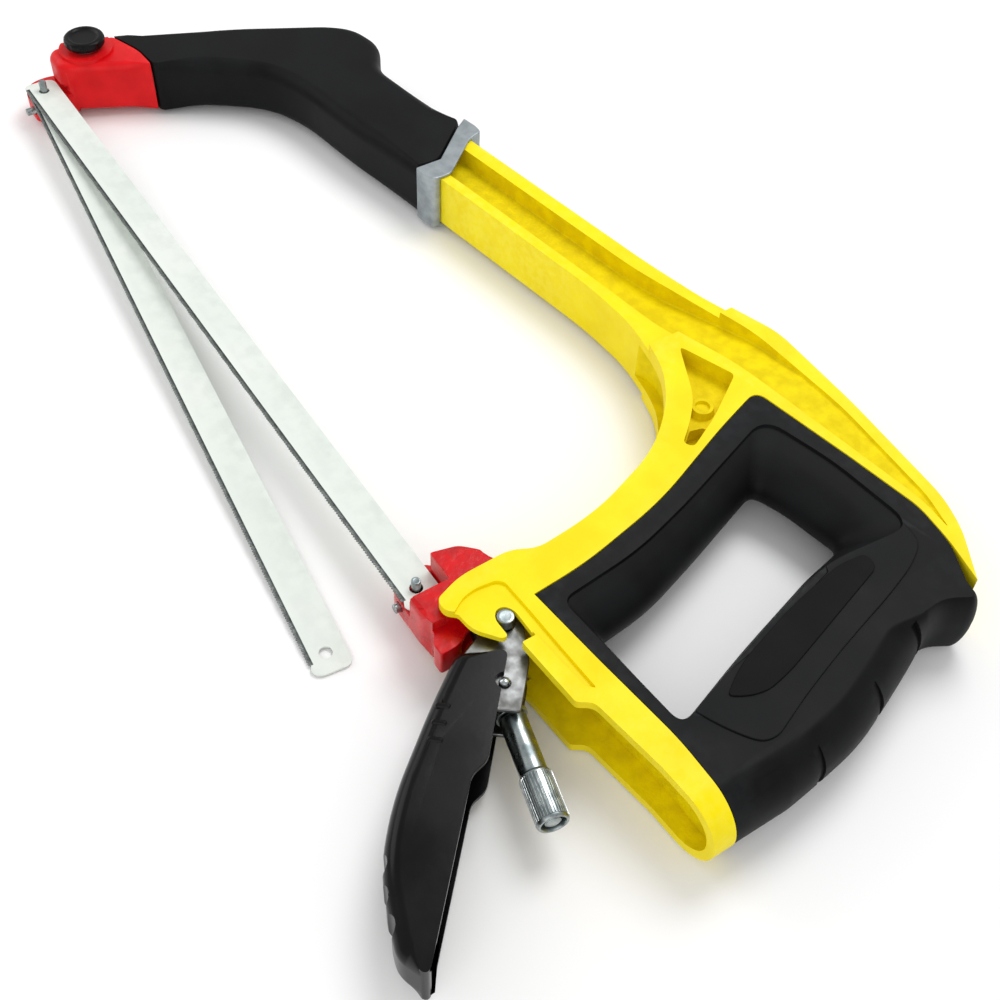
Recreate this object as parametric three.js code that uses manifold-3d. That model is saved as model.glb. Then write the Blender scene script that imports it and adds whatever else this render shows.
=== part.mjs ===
// A hacksaw: cast frame with a D handle, separate nose, over-centre blade tensioner and two blades.
// Millimetres. X runs from the front blade pin to the rear one, Y from the blade towards the
// beam, Z through the saw's thickness. The saw lies on its far side with the lever open.
import * as THREE from "three";
import { mergeVertices } from "three/addons/utils/BufferGeometryUtils.js";
import Module from "manifold-3d";

const wasm = await Module();
wasm.setup();

// Driving dimensions
const gap = 0.3; // between neighbouring pieces
const bladeSpan = 300; // hole to hole
const bladeWidth = 12.7;
const bladeThickness = 0.7;
const bladeEnd = 7; // steel beyond each hole
const bladeHole = 2.1; // radius
const pinRadius = 1.5;
const spareSwing = 5.8; // degrees, the loose blade's angle at the front pin
const spareDroop = 2.15; // degrees, its far end lies on the bench
const beamSlope = 8.9; // degrees
const beamLow = 79; // distance of the beam's underside from the front pin, square to the beam
const beamHigh = 103.9;
const beamHalf = 10.25; // half thickness
const handleHalf = 12.75;
const gripHalf = 12.5;
const channelHalf = 9.75; // half width inside the handle's lower channel
const channelEnd = 401; // where the channel's round rear end begins
const noseHalf = 11.2;
const collarHalf = 11.6;
const holderHalf = 10.8;
const hook = { x: 329, y: 12.3, r: 3 }; // the lever's pivot in the frame's hooks
const leverAngle = -42.5; // degrees, the open lever
const leverHalf = 9;
const trunnionAt = { a: 19.3, b: 3.05, r: 4.2 }; // along and across the lever, from its pivot
const drawbarEye = { x: 301.5, y: 12.7, r: 3.4 };
const drawbarRadius = 2.4;
const nutStart = 52.4; // distance along the drawbar from its eye
const nutKnurl = 71;
const nutEnd = 85.8;
const nutSlack = 2.2; // between the open lever's trunnion and the thrust washer
const knob = { x: -3.4, y: 21.9, r: 8.3, low: 12.3, high: 17.2 };
const studRadius = 2.4;

const radians = THREE.MathUtils.degToRad;

// Materials
const finish = (color, roughness, metalness) =>
  new THREE.MeshStandardMaterial({ color, roughness, metalness });
const yellowPaint = finish(0xf6e408, 0.35, 0);
const blackGrip = finish(0x1c1d1f, 0.6, 0);
const redCasting = finish(0xdf1f24, 0.35, 0);
const greyCasting = finish(0xa8aeb0, 0.5, 0.6);
const blackLever = finish(0x0c0c0e, 0.2, 0);
const zincSteel = finish(0x8a9897, 0.35, 1);
const darkSteel = finish(0x6f7475, 0.45, 1);
const bladeSteel = finish(0xd6dfd8, 0.5, 0.4);
const blackKnob = finish(0x111214, 0.3, 0);

// Outlines

// A closed outline from corner points [x, y, radius]; a corner with a radius is rounded.
function outline(corners) {
  const shape = new THREE.Shape();
  const count = corners.length;
  corners.forEach(([x, y, radius = 0], i) => {
    const [px, py] = corners[(i + count - 1) % count];
    const [nx, ny] = corners[(i + 1) % count];
    const before = new THREE.Vector2(px - x, py - y);
    const after = new THREE.Vector2(nx - x, ny - y);
    const reach = Math.min(radius, before.length() / 2, after.length() / 2);
    const start = before.setLength(reach).add(new THREE.Vector2(x, y));
    const end = after.setLength(reach).add(new THREE.Vector2(x, y));
    if (i === 0) shape.moveTo(start.x, start.y);
    else shape.lineTo(start.x, start.y);
    if (reach > 0) shape.quadraticCurveTo(x, y, end.x, end.y);
  });
  shape.closePath();
  return shape;
}

function circle(x, y, radius) {
  const shape = new THREE.Shape();
  shape.absarc(x, y, radius, 0, 2 * Math.PI);
  return shape;
}

// The points of an outline, anticlockwise.
function pointsOf(shape, divisions = 4) {
  const points = shape.getPoints(divisions);
  if (points[0].distanceTo(points[points.length - 1]) < 1e-3) points.pop();
  const kept = points.filter((p, i) => i === 0 || p.distanceTo(points[i - 1]) > 1e-3);
  return THREE.ShapeUtils.isClockWise(kept) ? kept.reverse() : kept;
}

// Points moved inwards, by amount times weight(x, y).
function inset(points, amount, weight = () => 1) {
  const count = points.length;
  return points.map((p, i) => {
    const before = p.clone().sub(points[(i + count - 1) % count]).normalize();
    const after = points[(i + 1) % count].clone().sub(p).normalize();
    const normal = new THREE.Vector2(-before.y - after.y, before.x + after.x).normalize();
    const spread = Math.max(0.5, normal.dot(new THREE.Vector2(-before.y, before.x)));
    return p.clone().addScaledVector(normal, (amount * weight(p.x, p.y)) / spread);
  });
}

// Solids

function solid(geometry) {
  const bare = geometry.clone();
  bare.deleteAttribute("normal");
  bare.deleteAttribute("uv");
  const merged = mergeVertices(bare, 1e-4);
  return new wasm.Manifold(
    new wasm.Mesh({
      numProp: 3,
      vertProperties: merged.attributes.position.array,
      triVerts: new Uint32Array(merged.index.array),
    }),
  );
}

const joinAll = (first, ...others) => others.reduce((whole, part) => whole.add(part), first);
const cutAll = (first, ...others) => others.reduce((whole, part) => whole.subtract(part), first);

function slab(shape, low, high, curveSegments = 4) {
  const depth = high - low;
  const geometry = new THREE.ExtrudeGeometry(shape, { depth, bevelEnabled: false, curveSegments });
  return solid(geometry.translate(0, 0, low));
}

// A closed solid through rings of points with equal counts, each at its own height z.
function stack(rings) {
  const count = rings[0].points.length;
  const vertices = rings.flatMap(({ z, points }) => points.flatMap((p) => [p.x, p.y, z]));
  const faces = [];
  for (let k = 0; k + 1 < rings.length; k++) {
    for (let i = 0; i < count; i++) {
      const [a, b] = [k * count + i, k * count + ((i + 1) % count)];
      faces.push(a, b, b + count, a, b + count, a + count);
    }
  }
  const top = (rings.length - 1) * count;
  for (const [a, b, c] of THREE.ShapeUtils.triangulateShape(rings[0].points, [])) faces.push(c, b, a);
  for (const [a, b, c] of THREE.ShapeUtils.triangulateShape(rings.at(-1).points, [])) {
    faces.push(top + a, top + b, top + c);
  }
  const geometry = new THREE.BufferGeometry();
  geometry.setAttribute("position", new THREE.Float32BufferAttribute(vertices, 3));
  geometry.setIndex(faces);
  return solid(geometry);
}

// A slab from -half to half whose edges are rounded with a radius, where weight says so.
function pillow(shape, half, radius, { weight, steps = 2, divisions = 4 } = {}) {
  const points = pointsOf(shape, divisions);
  const rings = [];
  for (let i = 0; i <= steps; i++) {
    const angle = (Math.PI / 2) * (i / steps);
    const z = half - radius + radius * Math.sin(angle);
    const ring = inset(points, radius * (1 - Math.cos(angle)), weight);
    rings.push({ z, points: ring });
  }
  const below = rings.map(({ z, points: ring }) => ({ z: -z, points: ring })).reverse();
  return stack([...below, ...rings]);
}

// A round bar from one point to another.
function bar(from, to, radius, sides = 16) {
  const [start, end] = [new THREE.Vector3(...from), new THREE.Vector3(...to)];
  const direction = end.clone().sub(start);
  const geometry = new THREE.CylinderGeometry(radius, radius, direction.length(), sides);
  const turn = new THREE.Quaternion();
  turn.setFromUnitVectors(new THREE.Vector3(0, 1, 0), direction.clone().normalize());
  geometry.applyQuaternion(turn);
  return solid(geometry.translate(...start.add(end).multiplyScalar(0.5).toArray()));
}

const pin = (x, y, low, high, radius, sides) => bar([x, y, low], [x, y, high], radius, sides);

function named(name, shape, material) {
  const { numProp, vertProperties, triVerts } = shape.getMesh();
  const vertices = new Float32Array((vertProperties.length / numProp) * 3);
  for (let i = 0; i < vertices.length / 3; i++) {
    vertices.set(vertProperties.subarray(i * numProp, i * numProp + 3), i * 3);
  }
  const geometry = new THREE.BufferGeometry();
  geometry.setAttribute("position", new THREE.BufferAttribute(vertices, 3));
  geometry.setIndex(new THREE.BufferAttribute(triVerts, 1));
  geometry.computeVertexNormals();
  const mesh = new THREE.Mesh(geometry, material);
  mesh.name = name;
  return mesh;
}

// Frame

// Height of a line parallel to the beam, square distance away from the front pin.
const beamLine = (x, distance) =>
  (distance + x * Math.sin(radians(beamSlope))) / Math.cos(radians(beamSlope));

// The handle's black insert meets the casting along these points, from the rear of the top
// strip, down the strut, and back along the lower channel.
const insertBorder = [
  [390.5, 134.6], [376, 139.3, 4], [362, 141, 4], [336, 137, 4], [297.5, 130.2, 5], [304.5, 110, 8],
  [318.7, 75, 12], [326, 42, 12], [327.5, 22.9], [356, 25.6, 4], [387, 29, 6], [415, 28.8],
];

const hookSlot = [
  [339.4, 15.4], [331.5, 15.5, 2], [328.4, 15.4, 2], [325.8, 13.6, 2], [325.8, 10.9, 2],
  [328.4, 9.1, 2], [335, 9.2, 1],
];

const handleOutline = () =>
  outline([
    [262, 113.7], [262, 149.3], [280, 155, 6], [318, 153.8, 6], [363, 150, 6], [375, 145.8, 5],
    [391.4, 135.6], ...insertBorder.slice(1), [415, 21.6], [391, 20.1], [366, 16.6, 2],
    [363.2, 12.4, 1], [339.4, 10.9, 0.6], ...hookSlot, [335, 7.4, 2], [328, 1.8, 4], [321.5, 1.2, 1],
    [319, -1.8, 2], [314.6, -1.6, 2], [311, 8, 4], [310.4, 26, 4], [314.3, 33, 6], [312, 56, 14],
    [301, 86, 12], [287, 102, 10], [274, 110.5, 6],
  ]);

const beamOutline = () =>
  outline([
    [140, beamLine(140, beamLow)], [225, beamLine(225, beamLow), 10], [248, 116.2, 8],
    [268, 112.4], [268, 151.2], [250, 145.6, 6], [225, beamLine(225, beamHigh), 8],
    [123, beamLine(123, beamHigh)], [125.6, beamLine(125.6, beamHigh - 1.5)], [140, 108.5],
  ]);

const tongueHalf = 5;
const tongueOutline = (spare) =>
  outline([
    [102 - spare, beamLine(102, 85 - spare)], [145, beamLine(145, 85 - spare)],
    [145, beamLine(145, 98 + spare)], [102 - spare, beamLine(102, 98 + spare)],
  ]);

// The casting's core runs through the grip from the top strip to the channel.
const gripCore = (spare) =>
  outline([
    [376 - spare, 142], [384 - spare, 118, 12], [386 - spare, 96, 12], [392 - spare, 62, 10],
    [394 - spare, 26], [406 + spare, 26], [404 + spare, 62, 10], [396 + spare, 92, 12],
    [389.5 + spare, 112, 10], [387.5 + spare, 137],
  ]);
const coreHalf = 4.5;

// The shallow panel along the beam and the top strip, with a floor that rises to the rear.
function beamPanel() {
  const plan = slab(
    outline([
      [100, beamLine(100, 83.2)], [228, beamLine(228, 83.2), 8], [254, 123.4, 8], [284, 133, 8],
      [300, 135.4, 6], [360, 143.6, 5], [373, 142.6, 2], [360, 146.2, 4], [318, 149.6, 8],
      [276, 148, 8], [252, 141.6, 8], [225, beamLine(225, 98.1), 8], [100, beamLine(100, 98.1)],
    ]), 0, 20);
  const floor = new THREE.Shape([[90, 3.6], [240, 3.6], [300, 11.4], [380, 11.8], [380, 20], [90, 20]]
    .map(([x, z]) => new THREE.Vector2(x, z)));
  const depth = new THREE.ExtrudeGeometry(floor, { depth: 120, bevelEnabled: false });
  return plan.intersect(solid(depth.rotateX(Math.PI / 2).translate(0, 180, 0)));
}

const cornerPocket = () =>
  slab(
    outline([
      [267, 121.8, 1], [288.2, 129.4, 2], [300, 111, 5], [307.2, 97.4, 3], [303.5, 94.6, 2],
      [297.6, 103, 6], [289.5, 111, 8],
    ]), 5, 20);

const throatScoop = () =>
  slab(outline([
    [250, 112], [268, 108, 6], [286, 98], [290, 101.5], [276, 113.5, 6], [262, 117.5, 6],
  ]), -7, 7);

// Everything inside the handle's plan: as wide as the rest up to channelEnd, then a half circle.
function roundedEnd(half) {
  const plan = new THREE.Shape();
  plan.moveTo(0, -20);
  plan.lineTo(channelEnd - 4, -20);
  plan.lineTo(channelEnd - 4, -half - 0.5);
  plan.lineTo(channelEnd, -half);
  plan.absarc(channelEnd, 0, half, -Math.PI / 2, Math.PI / 2);
  plan.lineTo(channelEnd - 4, half + 0.5);
  plan.lineTo(channelEnd - 4, 20);
  plan.lineTo(0, 20);
  const depth = new THREE.ExtrudeGeometry(plan, { depth: 220, bevelEnabled: false, curveSegments: 14 });
  return solid(depth.rotateX(Math.PI / 2).translate(0, 180, 0));
}

const channelSpace = () =>
  slab(
    outline([
      [290, -14], [290, 26.6], [315, 26.6, 3], [329, 20.9, 3], [345, 22.6], [356, 23.5], [387, 26.7, 4],
      [420, 26.7], [420, -14],
    ]), -channelHalf, channelHalf).intersect(roundedEnd(channelHalf));

function frameCasting() {
  const bothSides = (cutter) => cutter.add(cutter.mirror([0, 0, 1]));
  const body = joinAll(
    slab(beamOutline(), -beamHalf, beamHalf),
    slab(tongueOutline(0), -tongueHalf, tongueHalf),
    slab(handleOutline(), -handleHalf, handleHalf).intersect(roundedEnd(handleHalf)),
    slab(gripCore(0), -coreHalf, coreHalf),
  );
  return cutAll(
    body, bothSides(beamPanel()), bothSides(cornerPocket()), throatScoop(), channelSpace(), rollPinHole());
}

// Handle

const gripOutline = () =>
  outline([
    [390.2, 134], ...insertBorder.slice(1, -1), [414, 28.8], [414, 45, 10], [412.2, 60, 10],
    [409.8, 76, 10], [404.8, 90, 8], [399.3, 104, 6], [392.6, 120, 5], [398.6, 130, 4], [396.2, 135, 3],
  ]);

// The finger opening's corners at the handle's faces and at its middle; its walls slope between.
const openingAtFace = [
  [333.5, 29, 4], [330.5, 58, 10], [323.5, 82, 10], [308.5, 124.5, 8], [334, 131, 8], [366, 134, 8],
  [363, 101, 10], [374, 62, 10], [384, 32.8, 5],
];
const openingAtMiddle = [
  [345, 33.5, 4], [342.6, 54, 8], [335.5, 76, 8], [323.5, 109.5, 4], [334, 113.5, 4], [356, 117.5, 5],
  [360.5, 100, 7], [372, 62, 10], [381.5, 34.8, 6],
];

// The opening's outline, a share of the way from the faces to the middle.
const openingPoints = (share) =>
  pointsOf(
    outline(openingAtFace.map((corner, i) => corner.map((v, k) => v + share * (openingAtMiddle[i][k] - v)))),
  );

// Where the grip's edges are rounded: along its rear, less at the horn.
const behindGrip = (x, y) => {
  const { smoothstep } = THREE.MathUtils;
  return smoothstep(x, 386, 396) * smoothstep(y, 29, 46) * (1 - 0.7 * smoothstep(y, 104, 118));
};

function handleGrip() {
  const spared = inset(pointsOf(gripOutline()), gap, (x, y) => 1 - behindGrip(x, y));
  const backRadius = gripHalf + 0.4; // the grip's back is nearly a half circle from face to face
  const rings = [-gripHalf, -10.5, -8, -5, -2, 2, 5, 8, 10.5, gripHalf].map((z) => {
    const amount = backRadius - Math.sqrt(backRadius ** 2 - z ** 2);
    return { z, points: inset(spared, amount, behindGrip) };
  });
  const opening = stack([
    { z: -gripHalf - 1, points: openingPoints(0) }, { z: -gripHalf + 1.5, points: openingPoints(0) },
    { z: -5, points: openingPoints(0.75) }, { z: 0, points: openingPoints(1) },
    { z: 5, points: openingPoints(0.75) }, { z: gripHalf - 1.5, points: openingPoints(0) },
    { z: gripHalf + 1, points: openingPoints(0) },
  ]);
  const body = stack(rings).intersect(roundedEnd(handleHalf - gap / 2));
  return cutAll(body, opening, slab(gripCore(gap), -coreHalf - gap, coreHalf + gap));
}

function gripPanel(side) {
  const shape = outline([
    [366, 104, 3], [367, 114, 4], [372.6, 113.4, 4], [380.8, 87, 12], [386.6, 68, 8], [388.2, 59, 5],
    [386.8, 53, 4], [383.6, 48, 2], [379.6, 54, 6], [376.4, 61, 8], [369.8, 83, 10],
  ]);
  const [low, high] = [gripHalf + gap, gripHalf + gap + 0.7];
  return side > 0 ? slab(shape, low, high) : slab(shape, -high, -low);
}

// Nose

const collarFront = [[118.4, 130.4], [122, 125.3], [136.5, 108.5], [136.5, 97.4]];

// A roll pin holds the beam's tongue in the nose.
const rollPin = { x: 112, y: beamLine(112, 91.5), r: 1.5 };
const rollPinHole = () => pin(rollPin.x, rollPin.y, -9, 9, rollPin.r + gap);

function noseCore() {
  const collar = slab(
    outline([
      ...collarFront, [141, 97.6, 2], [146.4, 99.6, 2], [146.4, 107, 2], [131.5, 124.6, 2],
      [129.6, 131.4, 2], [125, 131.6, 1],
    ]), -collarHalf, collarHalf);
  const beamSpace = slab(
    outline([
      [139.7, beamLine(139.7, beamLow - gap)], [160, beamLine(160, beamLow - gap)],
      [160, beamLine(160, beamHigh + gap)], [122, beamLine(122, beamHigh + gap)],
      [125, beamLine(125, beamHigh - 1.8)], [139.7, 108.2],
    ]), -beamHalf - gap, beamHalf + gap);
  const spigot = slab(
    outline([
      [95, beamLine(95, 81)], [138, beamLine(138, 81)], [124, beamLine(124, 102)], [95, beamLine(95, 102)],
    ]),
    -8, 8);
  const arm = slab(
    outline([
      [98, 98, 2], [98, 116, 2], [62, 112, 10], [46, 111, 8], [36, 98, 8], [17, 66, 10], [3, 43, 8],
      [-7.5, 22, 4], [-6, 14.5, 3], [3, 14.5, 3], [17.5, 42, 8], [30, 64, 10], [44, 83, 8], [58, 92.5, 8],
    ]), -5, 5);
  const knobHole = pin(knob.x, knob.y, -6, 6, studRadius + gap);
  const tongueSpace = slab(tongueOutline(gap), -tongueHalf - gap, tongueHalf + gap);
  return cutAll(joinAll(collar, spigot, arm), beamSpace, tongueSpace, rollPinHole(), knobHole);
}

const sleeveBorder = [[20.2, 41.2, 2], [8, 40.4, 4], [-2, 37, 2], [-6.4, 35.4]];

function noseSleeve() {
  const shape = outline([
    [136.2, 98.2], [100, 90.6, 10], [64, 85.9, 10], [46, 78.8, 12], [31.5, 61, 10], ...sleeveBorder,
    [-4.4, 43.6, 3], [9.5, 81, 10], [29, 118.5, 10], [37, 126.8, 8], [52, 130, 6], [69, 120.6, 6],
    [94, 124, 10], [118, 128.6, 2], [121.7, 125.1, 3], [136.2, 108.3, 3],
  ]);
  const atCollar = (x, y) => 1 - 0.75 * THREE.MathUtils.smoothstep(x + 0.8 * (y - 108), 118, 134);
  const nearHolder = (x, y) => THREE.MathUtils.smoothstep(y - 0.15 * x, 40, 46);
  const body = pillow(shape, noseHalf, 5, { steps: 3, weight: (x, y) => atCollar(x, y) * nearHolder(x, y) });
  const spigotSpace = slab(
    outline([
      [94.7, beamLine(94.7, 81 - gap)], [142, beamLine(142, 81 - gap)], [128, beamLine(128, 102 + gap)],
      [94.7, beamLine(94.7, 102 + gap)],
    ]), -8 - gap, 8 + gap);
  return cutAll(body, armSpace(), spigotSpace);
}

// Room for the nose's core arm inside the sleeve and the front holder.
const armSpace = () =>
  slab(
    outline([
      [98, 97.4, 2], [98, 116.6, 2], [62, 112.6, 10], [45.6, 111.6, 8], [35.5, 98.3, 8], [16.5, 66.3, 10],
      [2.5, 43.3, 8], [-8.2, 22, 4], [-6.5, 13.9, 3], [3.4, 13.9, 3], [18.1, 41.7, 8], [30.5, 63.6, 10],
      [44.4, 82.5, 8], [58.2, 91.9, 8],
    ]), -5 - gap, 5 + gap);

const frontHolderLow = -2.3; // the blades' seat lies this far below the saw's middle

function frontHolder() {
  const block = pillow(
    outline([
      [-6.7, 34.8, 1], [-12.4, 16, 5], [-12.2, 9.6, 4], [-8.5, 7.1, 2], [1, 7.1, 3], [5, 11, 4], [16, 34, 4],
      [19.6, 40.6, 1], [7.8, 39.9, 4], [-2, 36.5, 1],
    ]), holderHalf, 2.5, { weight: (x, y) => 1 - THREE.MathUtils.smoothstep(y - 0.35 * x, 30, 35) });
  const shelf = slab(
    outline([
      [-5.5, -6.4, 3], [-12, -3, 4], [-14, 4, 4], [-12.4, 12], [4.6, 12], [4, 4, 3], [6, -3, 3], [3, -6.4, 3],
    ]), -holderHalf, frontHolderLow);
  const boss = pin(knob.x, knob.y, 8, 12, 10, 32);
  const stud = pin(knob.x, knob.y, -12, 14, studRadius + gap);
  const nutPocket = pin(knob.x, knob.y, -12, -6.4, 4.9 + gap, 6);
  const pinHole = pin(0, 0, -8, 0, pinRadius + gap);
  const sideHole = bar([1.5, -8, -6], [1.5, -1, -6], pinRadius + gap);
  return cutAll(joinAll(block, shelf, boss), armSpace(), stud, nutPocket, pinHole, sideHole);
}

function thumbKnob() {
  const rim = new THREE.Shape();
  const lobes = 8;
  for (let i = 0; i <= 64; i++) {
    const angle = (2 * Math.PI * i) / 64;
    const radius = knob.r - 0.5 * (0.5 + 0.5 * Math.cos(lobes * angle)) ** 4;
    rim[i ? "lineTo" : "moveTo"](radius * Math.cos(angle), radius * Math.sin(angle));
  }
  const points = pointsOf(rim).map((p) => p.add(new THREE.Vector2(knob.x, knob.y)));
  const head = stack([
    { z: knob.low + 0.9, points: inset(points, 0.8) }, { z: knob.low + 1.7, points },
    { z: knob.high - 1, points }, { z: knob.high, points: inset(points, 1) },
  ]);
  const dish = pin(knob.x, knob.y, knob.high - 0.8, knob.high + 1, 5.6, 32);
  return cutAll(head, dish, pin(knob.x, knob.y, knob.low, knob.low + 3.2, studRadius + gap));
}

const clampNut = () =>
  cutAll(pin(knob.x, knob.y, -10.6, -6.7, 4.9, 6), pin(knob.x, knob.y, -12, -6, studRadius + 0.05));

const knobWasher = () =>
  cutAll(pin(knob.x, knob.y, 12.3, 13, 6, 24), pin(knob.x, knob.y, 12, 14, studRadius + gap));

// Blades

function blade() {
  const half = bladeWidth / 2;
  const shape = outline([
    [-bladeEnd, -half, 3], [bladeSpan + bladeEnd, -half, 4],
    [bladeSpan + bladeEnd, half, 3], [-bladeEnd, half, 4],
  ]);
  shape.holes.push(circle(0, 0, bladeHole), circle(bladeSpan, 0, bladeHole));
  return slab(shape, -bladeThickness / 2, bladeThickness / 2, 5);
}

function spareBlade() {
  const mesh = named("blade_spare", blade(), bladeSteel);
  mesh.position.z = -1.25;
  mesh.rotation.set(0, radians(spareDroop), radians(-spareSwing), "ZYX");
  return mesh;
}

// Rear holder and drawbar

function rearHolder() {
  const head = pillow(
    outline([
      [303.2, -6.4, 1], [305.3, -3.2, 1], [303.9, -0.6, 1],
      [304.2, 6.9, 0.5], [296.2, 6.9, 1], [297.4, 11.8, 1],
      [298.3, 15.6, 3], [303, 20.4, 3], [310, 24.2, 2], [317.4, 23.2, 3], [322.4, 16, 4], [322.8, 4, 4],
      [326.6, -1, 3], [326.8, -7.7, 1], [322.6, -7.7, 1.5], [318.6, -5.2, 1.5], [314, -6.9, 2],
    ]), 8.6, 2, {
    weight: (x) => THREE.MathUtils.smoothstep(x, 303, 306) * (1 - THREE.MathUtils.smoothstep(x, 314, 317)),
  });
  const shelf = slab(
    outline([
      [295, -5.6, 3], [292.6, 0, 3], [293, 7, 1], [296, 10.4, 1], [306, 10.4], [306, -6.2], [300, -6.2, 2],
    ]), -8.6, -0.75);
  const bladeStep = slab(outline([[290, -9], [307.4, -9], [307.4, 6.9], [290, 6.9]]), -0.75, 12);
  const rear = slab(outline([[318.5, -10], [318.5, 26], [330, 26], [330, -10]]), 4.9, 12);
  const eyeSlot = slab(
    outline([
      [296.8, 16.6, 3], [296.8, 8.8, 3], [312, 5.2, 2], [330, -1.6], [330, 30], [306, 30],
    ]), -2.9, 2.9);
  const eyePin = pin(drawbarEye.x, drawbarEye.y, -8, 8, pinRadius + gap);
  const bladePin = pin(bladeSpan, 0, -8, 0, pinRadius + gap);
  const sidePin = bar([300.5, -9, -4.2], [300.5, -1, -4.2], pinRadius + gap);
  const sides = [rear, rear.mirror([0, 0, 1])];
  return cutAll(joinAll(head, shelf), bladeStep, ...sides, eyeSlot, eyePin, bladePin, sidePin);
}

// The open lever's own axes: a runs along it from the pivot, b across it towards the frame.
const alongLever = new THREE.Vector2(Math.cos(radians(leverAngle)), Math.sin(radians(leverAngle)));
const acrossLever = new THREE.Vector2(-alongLever.y, alongLever.x);
const onLever = (a, b) =>
  new THREE.Vector2(hook.x, hook.y).addScaledVector(alongLever, a).addScaledVector(acrossLever, b);
const trunnion = onLever(trunnionAt.a, trunnionAt.b);
const drawbarTilt = Math.atan2(trunnion.y - drawbarEye.y, trunnion.x - drawbarEye.x);
const onDrawbar = (distance, z = 0) => [
  drawbarEye.x + distance * Math.cos(drawbarTilt),
  drawbarEye.y + distance * Math.sin(drawbarTilt),
  z,
];

function drawbar() {
  const eye = pin(drawbarEye.x, drawbarEye.y, -2.5, 2.5, drawbarEye.r, 20);
  const rod = bar(onDrawbar(1), onDrawbar(nutEnd - 0.6), drawbarRadius, 18);
  return cutAll(joinAll(eye, rod), pin(drawbarEye.x, drawbarEye.y, -4, 4, pinRadius + 0.05));
}

function trunnionBlock() {
  const { r } = trunnionAt;
  const barrel = pin(trunnion.x, trunnion.y, -5.5, 5.5, r, 20);
  const journals = pin(trunnion.x, trunnion.y, -8.2, 8.2, 1.5, 12);
  const facing = nutStart - 1.5 - nutSlack; // the flat on which the thrust washer bears
  const [low, high] = [onDrawbar(facing), onDrawbar(facing + 8)];
  const flat = bar(low, high, 9, 4);
  return cutAll(joinAll(barrel, journals), flat, bar(onDrawbar(30), onDrawbar(60), drawbarRadius + 0.55, 18));
}

function tensionNut() {
  const spin = (radius, from, to) => bar(onDrawbar(from), onDrawbar(to), radius, 24);
  const flutes = joinAll(...Array.from({ length: 12 }, (_, i) => {
    const angle = (Math.PI / 6) * i;
    const side = new THREE.Vector3(-Math.sin(drawbarTilt), Math.cos(drawbarTilt), 0);
    const offset = side.multiplyScalar(4.95 * Math.cos(angle)).setZ(4.95 * Math.sin(angle));
    const shift = (distance) => onDrawbar(distance).map((value, k) => value + offset.getComponent(k));
    return bar(shift(nutKnurl + 1), shift(nutEnd + 1), 0.45, 6);
  }));
  return cutAll(
    joinAll(spin(4, nutStart, nutKnurl + 0.5), spin(4.75, nutKnurl, nutEnd)),
    flutes,
    spin(drawbarRadius + gap, nutStart - 1, nutEnd + 1),
    spin(3.6, nutEnd - 2.5, nutEnd + 1),
  );
}

const thrustWasher = () =>
  cutAll(
    bar(onDrawbar(nutStart - 1.5), onDrawbar(nutStart - gap), 4.7, 24),
    bar(onDrawbar(nutStart - 3), onDrawbar(nutStart + 1), drawbarRadius + gap, 18),
  );

// Lever

const leverOutline = (corners) =>
  outline(corners.map(([a, b, radius]) => [...onLever(a, b).toArray(), radius]));

const leverBack = [[29, -15.8, 10], [59, -20, 14], [78, -18.9, 8], [93, -13, 8], [99.5, -10, 3]];

function leverShell() {
  const body = pillow(
    leverOutline([
      [9.4, 2.4, 2], [10.6, -12, 3], ...leverBack, [103.6, -1.2, 3], [49.4, -0.7, 2], [44.4, 2.7, 2],
    ]),
    leverHalf, 3, { steps: 3, weight: backOfLever });
  const hollow = slab(
    leverOutline([
      [5, 8], [5, -9.2], [11, -10.2], [29, -13.8, 10], [59, -18, 14], [78, -16.9, 8], [91.5, -11.2, 8],
      [98, -8.4, 2], [101, -2.4, 2], [101, 8],
    ]), -leverHalf + 1.5, leverHalf - 1.5);
  const notch = pin(trunnion.x, trunnion.y, -12, 12, 2.6);
  return cutAll(body, hollow, notch);
}

// Only the lever's back is rounded; its open side keeps sharp edges.
function backOfLever(x, y) {
  const across = new THREE.Vector2(x - hook.x, y - hook.y).dot(acrossLever);
  return THREE.MathUtils.smoothstep(-across, 3, 10);
}

function leverFrame() {
  const cheeks = slab(
    leverOutline([
      [-5.2, -3, 3], [-5.2, 4, 3], [0, 5.6, 3], [11, 8.8, 2], [27.4, 8.8, 1], [28, 2, 1], [30, -12.9, 1],
      [12, -9.8, 2], [2, -5.4, 3],
    ]), -7.4, 7.4);
  const web = slab(
    leverOutline([
      [12.5, -8.7], [12.5, -10.1, 1], [29, -13.4, 8], [39, -15, 1], [39, -13.4, 1], [29, -11.9, 8],
    ]),
    -7.2, 7.2);
  const inside = slab(leverOutline([
    [-9, -9.4], [-9, 12], [32, 12], [32, -12.1], [29, -11.9, 8], [12.5, -8.7],
  ]), -5.9, 5.9);
  const hookHole = pin(hook.x, hook.y, -9, 9, 2.2 + gap);
  const trunnionHole = pin(trunnion.x, trunnion.y, -9, 9, 1.5 + 0.1);
  return cutAll(cheeks, inside).add(web).subtract(hookHole).subtract(trunnionHole);
}

// One of the two stub pins on which the lever frame hangs in the frame's hooks.
const hookPin = (side) =>
  joinAll(
    pin(hook.x, hook.y, ...[side * 8.4, side * 11.6].sort((a, b) => a - b), hook.r - 0.4, 20),
    pin(hook.x, hook.y, ...[side * 5.6, side * 9].sort((a, b) => a - b), 2.2, 16),
  );

// Assembly

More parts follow.
